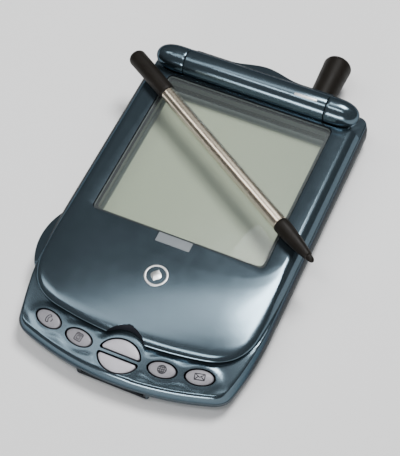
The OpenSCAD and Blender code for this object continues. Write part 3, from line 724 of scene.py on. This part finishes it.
def make_front_shell():
    def ring_at(z):
        ring = body_ring(z, SEAM if z < SPLIT_Z + SEAM_DEPTH else 0)
        if z <= COLLAR_FOOT_Z:
            return ring
        return [(x, y, h + (collar(x, y) if y < COLLAR_REAR_Y else 0)) for x, y, h in ring]

    shell = to_object("front_shell", skin(framed(ring_at, body_levels(SPLIT_Z, FACE_Z))), LACQUER)
    # The wells leave near-black painted shade on their walls and floors round the keys.
    wells = []
    for i, x in enumerate(KEY_X):
        hole = prism(ellipse(KEY_L + 1.1, KEY_B + 0.8), WELL_FLOOR, WELL_TOP, (0.42, 0.2))
        well = to_object("well_%d" % i, hole, PAINTED_GAP_SHADE)
        wells.append(placed(well, *on_chin(x)))
    for i, turn in enumerate((0, math.pi)):
        outline = half_moon(SCROLL_X + 0.45, SCROLL_Y + 0.45, 0.32, 0.7)
        hole = prism(outline, WELL_FLOOR, WELL_TOP, (0.42, 0.16))
        well = to_object("scroll_well_%d" % i, hole, PAINTED_GAP_SHADE)
        placed(well, (0, 0, 0), Matrix.Rotation(turn, 4, "Z"))
        wells.append(placed(well, *on_chin(0)))
    opening = rounded_rect(-SCREEN_X, SCREEN_X, SCREEN_FOOT, SCREEN_TOP, 1.5)
    cut(
        shell, *wells,
        to_object("screen_cut", prism(opening, 6.4, 11, (FACE_Z, 0.8)), LEDGE),
        box_cutter("rocker_cut", -36, -30.8, JOG_Y - 10, JOG_Y + 10, 5.0, 9.15),
        box_cutter("infrared_cut", -36, -32, 34, 42, 6.2, 8.8),
        side_cutter("power_cut", -18, -10, 5.9, 8.5, 50.2, 54),
        *end_holes(),
    )
    deck_outline = rounded_rect(-29.6, 29.6, LID_REAR + 0.6, BODY_TOP - 0.6, 2.6)
    deck = block("deck", deck_outline, 9.4, 12.35, LACQUER, 0.9)
    head = block("head", head_outline(), 7.2, 15.4, LACQUER, 0.45)
    hump = block("hump", hump_outline(), SPLIT_Z + 0.06, 8.2, LACQUER, 0.12)
    cut(hump, *ringer_cutters(8.1, 8.3))
    cut(shell, *ringer_cutters(8.2, 8.8))
    front = joined("front_shell", [shell, deck, head, hump])
    settle(front, "body", "shell_paint", "front_housing")


def make_rear_shell():
    top = SPLIT_Z - 0.05

    def ring_at(z):
        return body_ring(z, SEAM if z > top - SEAM_DEPTH else 0)

    levels = [0, 0.04, 0.1, 0.2, 0.35, 0.55, 0.8, 1.1, 1.5, 1.9, 2.4, 3, 3.6, 4.2, 4.8,
              top - 0.14, top]
    shell = to_object("rear_shell", skin(framed(ring_at, levels)), BACK_LACQUER)
    # The slots, screw recesses and openings of the back leave near-black painted shade on their
    # walls.
    slots = []
    for y in (-31, -29, -27, -25, -23):
        hole = prism(rounded_rect(13.5, 21.5, y - 0.4, y + 0.4, 0.39, 5), -1, 1.45)
        slots.append(to_object("sound_slot", hole, PAINTED_GAP_SHADE))
    recess = [(2.3, -1), (2.3, 0), (2.1, 0.2), (2.1, 1.15)]
    recesses = [
        placed(to_object("recess_%d" % i, turned(recess, 40), PAINTED_GAP_SHADE), (x, y, 0))
        for i, (x, y) in enumerate([(-26, 47.3), (8, 47.3), (-28, -40.5), (28, -40.5)])
    ]
    pinhole = [(1.0, -1), (1.0, 0), (0.6, 0.35), (0.6, 2.2)]
    reset = to_object("reset_cut", turned(pinhole, 32), PAINTED_GAP_SHADE)
    cut(
        shell, *slots, *recesses,
        to_object("label_cut", prism(rounded_rect(-19, 19, -8, 22, 2), -1, 0.14), BACK_LACQUER),
        placed(reset, (-15, -24, 0)),
        box_cutter("tray_cut", -35, -28, 10.2, 27.8, 2.1, 4.5),
        rod("jack_cut", 1.97, 6, (-35, -1, 3.4), ALONG_X),
        *end_holes(),
        rod("voice_cut", 0.5, 5, (16, -55, 2.8), ALONG_Y),
        dock_cutter(),
    )
    shroud_outline = rounded_rect(-10.6, 10.6, -53.4, -46, 0.7)
    shroud = block("shroud", shroud_outline, 1.3, top - 0.02, BACK_LACQUER, 0.22)
    cut(shroud, dock_cutter())
    hump = block("rear_hump", hump_outline(), 2.5, top - 0.02, BACK_LACQUER, 0.3)
    settle(joined("rear_shell", [shell, shroud, hump]), "body", "shell_paint", "rear_cover")


# ------------------------------------------------------------------ screen


def plate(name, x0, x1, y0, y1, z0, z1, r, paint, bevel):
    """A flat plate with rounded corners and a fine bevel."""
    return soften(to_object(name, prism(rounded_rect(x0, x1, y0, y1, r), z0, z1), paint), bevel, 3)


def make_screen():
    face = plate("screen_panel", -24.9, 24.9, -11.4, 39.2, 6.6, 8, 0.6, SCREEN, 0.08)
    settle(face, "body", "screen_face", "lcd_panel")
    sheet = plate("writing_sheet", -24.9, 24.9, -37.7, -11.7, 6.65, 8, 0.6, PRINTED, 0.08)
    settle(sheet, "body", "writing_plate", "writing_area_plate")
    gap = 0.03
    glass = plate("touch_glass", -SCREEN_X + gap, SCREEN_X - gap, SCREEN_FOOT + gap,
                  SCREEN_TOP - gap, 8.1, 8.7, 1.45, TOUCH, 0.05)
    settle(glass, "body", "window_clear", "touch_panel")
    lines = [closed(rounded_rect(-14.5, 14.5, -36.6, -13.2, 2.5)),
             straight_line(0.0, -36.6, 0.0, -13.2)]
    for x in (-19.6, 19.6):  # three round marks on each side of the writing field
        for y in (-18.6, -25, -31.4):
            lines.append(closed([(x + px, y + py) for px, py in circle(2.3)]))
            lines.append(straight_line(x - 1, y, x + 1, y))
    guides = [ribbon("guide_%d" % i, line, 0.22, 8.005, ICON_INK) for i, line in enumerate(lines)]
    settle(joined("writing_guides", guides), "body", "writing_plate")


def closed(points):
    """The line that comes back to its first point."""
    return points + [points[0]]


def straight_line(x0, y0, x1, y1):
    """Five points, so that a bend of the surface below is followed."""
    return [(x0 + (x1 - x0) * i / 4, y0 + (y1 - y0) * i / 4) for i in range(5)]


def ribbon(name, points, width, z, paint, thick=0.03, top=None):
    """A thin printed line along points. top gives the height of the surface under a point."""
    loop = points[0] == points[-1]
    path = points[:-1] if loop else points

    def make(bm):
        rows = []
        for i, (x, y) in enumerate(path):
            before = path[i - 1] if loop or i else path[0]
            after = path[(i + 1) % len(path)] if loop or i + 1 < len(path) else path[-1]
            dx, dy = after[0] - before[0], after[1] - before[1]
            d = math.hypot(dx, dy) or 1
            nx, ny = -dy / d * width / 2, dx / d * width / 2
            row = []
            for px, py, up in ((x - nx, y - ny, 0), (x - nx * 0.8, y - ny * 0.8, thick),
                               (x + nx * 0.8, y + ny * 0.8, thick), (x + nx, y + ny, 0)):
                base = z if top is None else z + top(px, py)
                row.append(bm.verts.new((px, py, base + up)))
            rows.append(row)
        pairs = list(zip(rows, rows[1:])) + ([(rows[-1], rows[0])] if loop else [])
        for a, b in pairs:
            for k in range(4):
                bm.faces.new((a[k], a[(k + 1) % 4], b[(k + 1) % 4], b[k]))
        if not loop:
            bm.faces.new(rows[0])
            bm.faces.new(list(reversed(rows[-1])))
    return to_object(name, make, paint)


# ------------------------------------------------------------------ lid

DOME_X, DOME_POWER = 25, 2.2  # where the knuckles start to close, and how full they stay
NECK_HALF, NECK_FOOT_Z = 2.9, 12.2  # the neck that a knuckle stands on


def make_lid():
    levels = [row[0] for row in LID_LEVELS]
    dense = []
    for low, high in zip(levels, levels[1:]):
        steps = 6 if high > LID_Z - 2.2 else 3
        dense += [low + (high - low) * i / steps for i in range(steps)]
    shell = to_object("lid_cover", skin(framed(lid_ring, dense + [LID_Z])), LACQUER)
    outer_x = WINDOW_X + 0.12
    outer = rounded_rect(-outer_x, outer_x, WINDOW_FOOT - 0.1, WINDOW_TOP + 0.12, 1.5)
    inner = rounded_rect(-24.7, 24.7, -10.3, 40, 1.2)
    tab_outline = rounded_rect(-5.16, 5.16, -14.5, -11.2, 0.3)
    lip_r, lip_z = 0.75, 11.9
    lip = [math.radians(a) for a in range(15, 91, 15)]
    notch = [(NOTCH_R, 5), (NOTCH_R, lip_z)]
    notch += [(NOTCH_R + lip_r * (1 - math.cos(a)), lip_z + lip_r * math.sin(a)) for a in lip]
    notch += [(NOTCH_R + 1.6, 13), (NOTCH_R + 1.6, 17)]
    # The trough and the knuckles' end cuts leave dark painted shade on their walls, in the gaps
    # round the barrel and knuckles.
    trough_end = (-SEAM_X, HINGE_Y, HINGE_Z)
    trough = rod("trough_cut", BARREL_R + 0.08, 2 * SEAM_X, trough_end, ALONG_X, DARK_PLASTIC_AND_SHADE, 96)
    ends = []
    for turn in (Matrix.Rotation(math.pi, 4, "Z") @ ALONG_X, ALONG_X):
        dome = to_object("end_cut", turned(dome_profile(SEAM_X - 0.2, 0.42)), DARK_PLASTIC_AND_SHADE)
        ends.append(placed(dome, (0, HINGE_Y, HINGE_Z), turn))
    panel = to_object("panel_cut", prism(panel_outline(1.4, 3.5), 9, 11.42), DARK_PLASTIC_AND_SHADE)
    # The window recess, the tab's recess and the thumb notch leave near-black painted shade on
    # their walls.
    cut(
        shell,
        to_object("window_cut", prism(outer, 13.5, 16, (LID_Z, 0.12)), PAINTED_GAP_SHADE),
        to_object("through_cut", prism(inner, 9, 16), LEDGE),
        to_object("tab_cut", prism(tab_outline, 13.65, 16), PAINTED_GAP_SHADE),
        placed(to_object("notch_cut", turned(notch), PAINTED_GAP_SHADE), (0, CHIN_Y, 0)),
        trough, *ends, panel,
    )
    settle(shell, "lid", "shell_paint", "lid_shell")
    pane_x = WINDOW_X - 0.12
    pane = plate("window_pane", -pane_x, pane_x, WINDOW_FOOT + 0.12, WINDOW_TOP - 0.1,
                 13.56, LID_Z - 0.03, 1.4, WINDOW, 0.16)
    cut(pane, rod("pane_cut", BARREL_R + 0.35, 60, (-30, HINGE_Y, HINGE_Z), ALONG_X, WINDOW, 96))
    settle(pane, "lid", "window_clear", "lid_window")
    tab = plate("light_tab", -5.06, 5.06, -14.42, WINDOW_FOOT - 0.12, 13.7, LID_Z - 0.05, 0.3,
                FROSTED, 0.08)
    settle(tab, "lid", "frosted_tab", "lid_light_tab")


def panel_outline(inset, back):
    """The lid's outline, drawn in and set back at its foot, for the room of the inner panel."""
    out = []
    for x, y, _ in lid_ring(LID_Z - 3.3):
        foot = max(0.0, min(1.0, (-y - 20) / 18))
        rear = 1.0 if y > LID_REAR - 0.5 else 0
        out.append((x * (1 - inset / (LID_W / 2)), y + (back + inset) * foot - rear))
    return out


def dome_point(step):
    """Distance from the middle and radius on a knuckle's round end, for a step from 0 to 18."""
    x = DOME_X + (KNUCKLE_X - DOME_X) * math.sin(math.radians(step * 5))
    share = ((x - DOME_X) / (KNUCKLE_X - DOME_X)) ** DOME_POWER
    return x, BARREL_R * max(0.0, 1 - share) ** (1 / DOME_POWER)


def dome_profile(start, grow):
    """A knuckle's outside from start to its round end, larger all over by grow."""
    profile = [(0, start), (BARREL_R + grow, start)]
    for step in range(19):
        x, r = dome_point(step)
        profile.append((r + grow, x + (grow if step == 18 else 0)))
    return profile + [(0, KNUCKLE_X + grow)]


def make_knuckle(side):
    name = "left_knuckle_cover" if side < 0 else "right_knuckle_cover"
    node = "left_knuckle" if side < 0 else "right_knuckle"

    def section(x, r):
        """The barrel's circle with a neck below it that stands on the deck."""
        fade = smooth((x - 27.6) / 1.8)  # from the full neck to none at the round end
        neck = min(NECK_HALF, r * 0.8)
        foot = (HINGE_Z - NECK_FOOT_Z) * (1 - fade) + r * fade
        tilt = math.degrees(math.asin(neck / r))
        round_part = arc(HINGE_Y, HINGE_Z, r, -90 + tilt, 270 - tilt, 36)
        low = -r * math.cos(math.radians(tilt))
        sides = []
        for sign, downs in ((-1, (0.34, 0.67, 1.0)), (1, (1.0, 0.67, 0.34))):
            for k in downs:
                half = neck * (1.0 + 0.25 * k * k * (1 - fade)) * (1 - 0.3 * fade * k)
                sides.append((HINGE_Y + sign * half, HINGE_Z + low + (-foot - low) * k))
        return [(side * x, y, z) for y, z in round_part + sides]

    stations = [(SEAM_X + 0.02, BARREL_R - 0.22), (SEAM_X + 0.1, BARREL_R - 0.07),
                (SEAM_X + 0.25, BARREL_R)]
    stations += [(x, BARREL_R) for x in (23, 24, 24.6)]
    for step in range(18):
        x, r = dome_point(step)
        stations.append((x, max(0.35, r)))
    knuckle = to_object(name, skin([section(x, r) for x, r in stations]), LACQUER)
    settle(crisp(knuckle, 50), "body", "shell_paint", node)


def make_barrel():
    half, edge_r = SEAM_X - 0.14, 0.22
    edge = arc(BARREL_R - edge_r, half - edge_r, edge_r, 90, 0, 5)
    profile = [(0, -half)] + [(r, -x) for r, x in edge] + [(BARREL_R, x) for x in (-12, 0, 12)]
    profile += [(r, x) for r, x in reversed(edge)] + [(0, half)]
    barrel = to_object("barrel_cover", turned(profile, 120), LACQUER)
    placed(barrel, (0, HINGE_Y, HINGE_Z), ALONG_X)
    settle(crisp(barrel, TURNED_ANGLE), "lid", "shell_paint", "hinge_barrel")
    strip = prism(rounded_rect(12.2, 19.2, -0.38, 0.38, 0.37), -0.25, 0.05)
    bar = to_object("barrel_bar", strip, EMBLEM)
    soften(bar, 0.05, 2)
    lean = math.radians(22)
    place = (0, HINGE_Y - math.sin(lean) * BARREL_R, HINGE_Z + math.cos(lean) * BARREL_R)
    placed(bar, place, Matrix.Rotation(lean, 4, "X"))
    settle(bar, "lid", "emblem_metal")


def make_emblem():
    """A plain ring round a small leaf, tilted like the lid's crown."""
    inner, outer, depth, proud = 2.62, 3.42, -0.6, 0.12
    profile = [(inner, depth), (inner, 0.0), (inner + 0.1, 0.09), (inner + 0.23, proud),
               (outer - 0.22, proud), (outer - 0.09, 0.09), (outer, 0.0), (outer, depth)]
    steps = 72

    def hollow(bm):
        rows = [[bm.verts.new((x, y, z)) for x, y in ellipse(2 * r, 2 * r, steps)]
                for r, z in profile]
        for a, b in zip(rows, rows[1:] + rows[:1]):
            for i in range(steps):
                m = (i + 1) % steps
                bm.faces.new((a[i], a[m], b[m], b[i]))

    ring = to_object("emblem_ring", hollow, EMBLEM)
    turns = [math.radians(a) for a in range(0, 360, 10)]
    outline = [(1.55 * math.sin(a) ** 3, 1.9 * math.cos(a)) for a in turns]
    leaf = soften(to_object("emblem_leaf", prism(outline, -0.5, 0.1), EMBLEM), 0.06, 2)
    badge = joined("emblem_ring", [ring, leaf])
    crown_slope = math.radians(2.6)
    placed(badge, (0, -24.5, 14.2), Matrix.Rotation(crown_slope, 4, "X"))
    settle(badge, "lid", "emblem_metal", "lid_emblem")


# ------------------------------------------------------------------ keys

CAP_FOOT = -1.75  # stays above the well's floor when the key is pressed


def make_cap(name, outline, rise, paint):
    """A key cap with a domed face, a rounded rim and straight sides, and the dome's height."""
    cx = sum(p[0] for p in outline) / len(outline)
    cy = sum(p[1] for p in outline) / len(outline)
    rim = KEY_PROUD - 0.42
    crown, crown_share = rim + 0.2, 0.94

    def ring(k, z):
        return [(cx + (x - cx) * k, cy + (y - cy) * k, z) for x, y in outline]

    def top(x, y):
        reach = math.hypot((x - cx) / KEY_L, (y - cy) / KEY_B) * 2 / crown_share
        return crown + rise * max(0.0, 1 - reach**2)

    rings = [ring(1, CAP_FOOT), ring(1, rim - 0.12), ring(0.995, rim), ring(0.975, rim + 0.12),
             ring(crown_share, crown)]
    rings += [ring(k, crown + rise * (1 - (k / crown_share) ** 2))
              for k in (0.8, 0.6, 0.4, 0.2, 0.03)]
    return crisp(to_object(name, skin(rings), paint), 60), top


def box_line(x0, x1, y0, y1):
    """The four sides of a box."""
    return [(x0, y0), (x1, y0), (x1, y1), (x0, y1), (x0, y0)]


def pictogram(kind):
    """The lines of each key's picture, in mm about the key's centre."""
    if kind == "phone":
        return [oval_arc(0.35, 0, 0.95, 1.25, 112, 248), oval_arc(0.95, 0, 0.95, 0.85, 128, 232),
                [(-0.02, 1.15), (0.38, 0.98), (0.42, 0.62)],
                [(-0.02, -1.15), (0.38, -0.98), (0.42, -0.62)], arc(0.55, 0, 0.62, -48, 48, 10)]
    if kind == "calendar":
        return [box_line(-0.95, 0.95, -1.05, 1.05), box_line(-0.42, 0.42, -0.6, 0.3),
                [(-0.95, 0.66), (0.95, 0.66)], [(-0.45, 1.3), (-0.45, 0.9)],
                [(0.45, 1.3), (0.45, 0.9)]]
    if kind == "web":
        return [closed(circle(1.15)), closed(ellipse(1.1, 2.3, 28)),
                [(-1.15, 0), (1.15, 0)], [(0, -1.15), (0, 1.15)],
                [(-0.95, 0.58), (0.95, 0.58)], [(-0.95, -0.58), (0.95, -0.58)]]
    return [box_line(-1.35, 1.35, -0.85, 0.85), [(-1.3, 0.8), (0, -0.15), (1.3, 0.8)],
            [(-1.3, -0.8), (-0.35, 0.1)], [(1.3, -0.8), (0.35, 0.1)]]


def finer(points):
    """The same line with a point at least every 0.3 mm, so it follows the dome."""
    out = [points[0]]
    for a, b in zip(points, points[1:]):
        steps = max(1, math.ceil(math.dist(a, b) / 0.3))
        out += [(a[0] + (b[0] - a[0]) * i / steps, a[1] + (b[1] - a[1]) * i / steps)
                for i in range(1, steps + 1)]
    return out


def make_keys():
    for x, kind in zip(KEY_X, ("phone", "calendar", "web", "mail")):
        body = kind + "_button"
        cap, top = make_cap(kind + "_cap", ellipse(KEY_L, KEY_B), 0.28, OVAL_LACQUER)
        lines = [ribbon("line", finer(points), 0.26, 0, ICON_INK, 0.02, top)
                 for points in pictogram(kind)]
        placed(cap, *on_chin(x))
        settle(cap, body, "key_plastic", body)
        icon = joined(kind + "_icon", lines)
        placed(icon, *on_chin(x))
        settle(icon, body, "key_plastic")
    for name, turn in (("scroll_up", 0), ("scroll_down", math.pi)):
        cap, _ = make_cap(name + "_cap", half_moon(SCROLL_X, SCROLL_Y, 0.8), 0.22, KEY_LACQUER)
        placed(cap, (0, 0, 0), Matrix.Rotation(turn, 4, "Z"))
        placed(cap, *on_chin(0))
        settle(cap, name + "_button", "key_plastic", name + "_button")


def make_rocker():
    """The bulging side key, with a grip of four grooves on each half."""
    half, rise = 9.7, 2.6
    arc_r = (half * half + rise * rise) / (2 * rise)
    cx = -BODY_W / 2 - rise + arc_r
    reach = math.degrees(math.asin(half / arc_r))
    outline = arc(cx, JOG_Y, arc_r, 180 - reach, 180 + reach, 40)
    outline += [(-32.6, JOG_Y - half + 0.02), (-32.6, JOG_Y + half - 0.02)]
    rocker = to_object("rocker_cover", prism(outline, 5.52, 8.98), LACQUER)
    soften(rocker, 0.5, 4)
    grooves = []
    # The grooves leave near-black painted shade on their walls.
    for k in (-1, 1):
        for i in range(4):
            y = JOG_Y + k * (3.6 + i * 1.2)
            x = cx - math.sqrt(arc_r**2 - (y - JOG_Y) ** 2)
            grooves.append(box_cutter("groove", x - 1, x + 0.22, y - 0.16, y + 0.16, 6.3, 8.3, 0.1))
    cut(rocker, *grooves)
    settle(rocker, "jog_rocker", "shell_paint", "jog_rocker")


# ------------------------------------------------------------------ antenna and stylus


def make_antenna():
    r, length, tip_r = ANTENNA_R, ANTENNA_TIP - BODY_TOP - 0.1, 1.7
    profile = [(0, 0), (r - 0.25, 0), (r, 0.25), (r, 1.0), (r - 0.22, 1.15), (r - 0.2, 1.4),
               (r + 0.05, 1.55), (r + 0.3, 8), (ANTENNA_FLARE - 0.08, 14.4)]
    profile += arc(ANTENNA_FLARE - tip_r, length - tip_r, tip_r, 0, 90, 10) + [(0, length)]
    stub = to_object("antenna_cover", turned(profile), BLACK)
    placed(stub, (ANTENNA_X, BODY_TOP + 0.1, ANTENNA_Z), ALONG_Y)
    settle(crisp(stub, TURNED_ANGLE), "body", "black_plastic", "antenna_stub")


def add_stylus_piece(name, profile, paint, start, slot, node):
    """Lays a turned piece across the lid; start is its distance from the cap's end."""
    obj = crisp(to_object(name, turned(profile), paint), TURNED_ANGLE)
    obj.data.transform(Matrix.Translation((0, 0, (start - STYLUS_LEN / 2) * MM)))
    placed(obj, STYLUS_AT, Matrix.Rotation(STYLUS_TURN, 4, "Z") @ ALONG_X)
    settle(obj, "stylus", slot, node)


def make_stylus():
    r, edge = STYLUS_R, 0.12
    length = STYLUS_LEN - CAP_LEN - TIP_LEN
    tube = [(0, 0), (r - edge, 0), (r, edge)] + [(r, length * i / 8) for i in range(1, 8)]
    tube += [(r, length - edge), (r - edge, length), (0, length)]
    add_stylus_piece("stylus_tube", tube, CHAMPAGNE, CAP_LEN, "champagne_metal", "stylus_barrel")
    round_r = 1.75
    cap = [(0, 0)] + arc(CAP_R - round_r, round_r, round_r, -90, 0, 10)
    cap += [(CAP_R - 0.03, 6), (CAP_R - 0.08, 10), (CAP_R - 0.16, CAP_LEN - 1.2),
            (CAP_R - 0.2, CAP_LEN - 0.5), (CAP_R - 0.35, CAP_LEN - 0.12),
            (CAP_R - 0.42, CAP_LEN - 0.05), (0, CAP_LEN - 0.05)]
    add_stylus_piece("stylus_end_cap", cap, BLACK, 0, "black_plastic", "stylus_cap")
    tip = [(0, 0.05), (r, 0.05), (r + 0.15, 0.3), (r + 0.18, 1.2), (r + 0.1, 4), (r - 0.22, 7.5),
           (1.66, 10), (1.3, 12.6), (1.22, 12.8), (0.95, 12.95), (0.92, 13.4), (0.8, 14.2),
           (0.55, 14.75), (0.28, 14.97), (0, TIP_LEN)]
    tip_start = STYLUS_LEN - TIP_LEN
    add_stylus_piece("stylus_point", tip, BLACK, tip_start, "black_plastic", "stylus_tip")


# ------------------------------------------------------------------ CAD pieces that stay

CAD_PAINT = {
    BLACK: ("infrared_window",),
    DARK_PLASTIC_AND_SHADE: ("lid_inner_panel", "jog_carriage", "sim_tray", "dock_connector", "headset_jack",
           "ringer_switch", "stylus_silo", "ringer_speaker", "earpiece_speaker"),
    KEY_LACQUER: ("power_button", "ringer_slider"),
    STEEL: ("housing_screws", "lid_screws", "radio_shield", "processor_shield", "lcd_frame",
            "sim_socket", "hinge_shaft", "hinge_pivot_tube", "hinge_detent_housing",
            "vibration_motor", "vibration_weight", "jog_switch", "power_switch", "button_domes",
            "microphone"),
    BOARD: ("main_board", "button_board"),
    BATTERY: ("battery_pack",),
    GOLD: ("dock_contacts", "antenna_stud", "antenna_insert"),
    CARD: ("sim_card",),
    RUBBER: ("lid_bumpers",),
    FLEX: ("lid_flex_cable",),
}


def paint_cad():
    for paint, nodes in CAD_PAINT.items():
        for node in nodes:
            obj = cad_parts[node]
            for material_slot in obj.material_slots:
                material_slot.material = paint.mat


# ------------------------------------------------------------------ scene

add_camera()
add_studio()
paint_cad()
make_front_shell()
make_rear_shell()
make_screen()
make_lid()
make_knuckle(-1)
make_knuckle(1)
make_barrel()
make_emblem()
make_keys()
make_rocker()
make_antenna()
make_stylus()
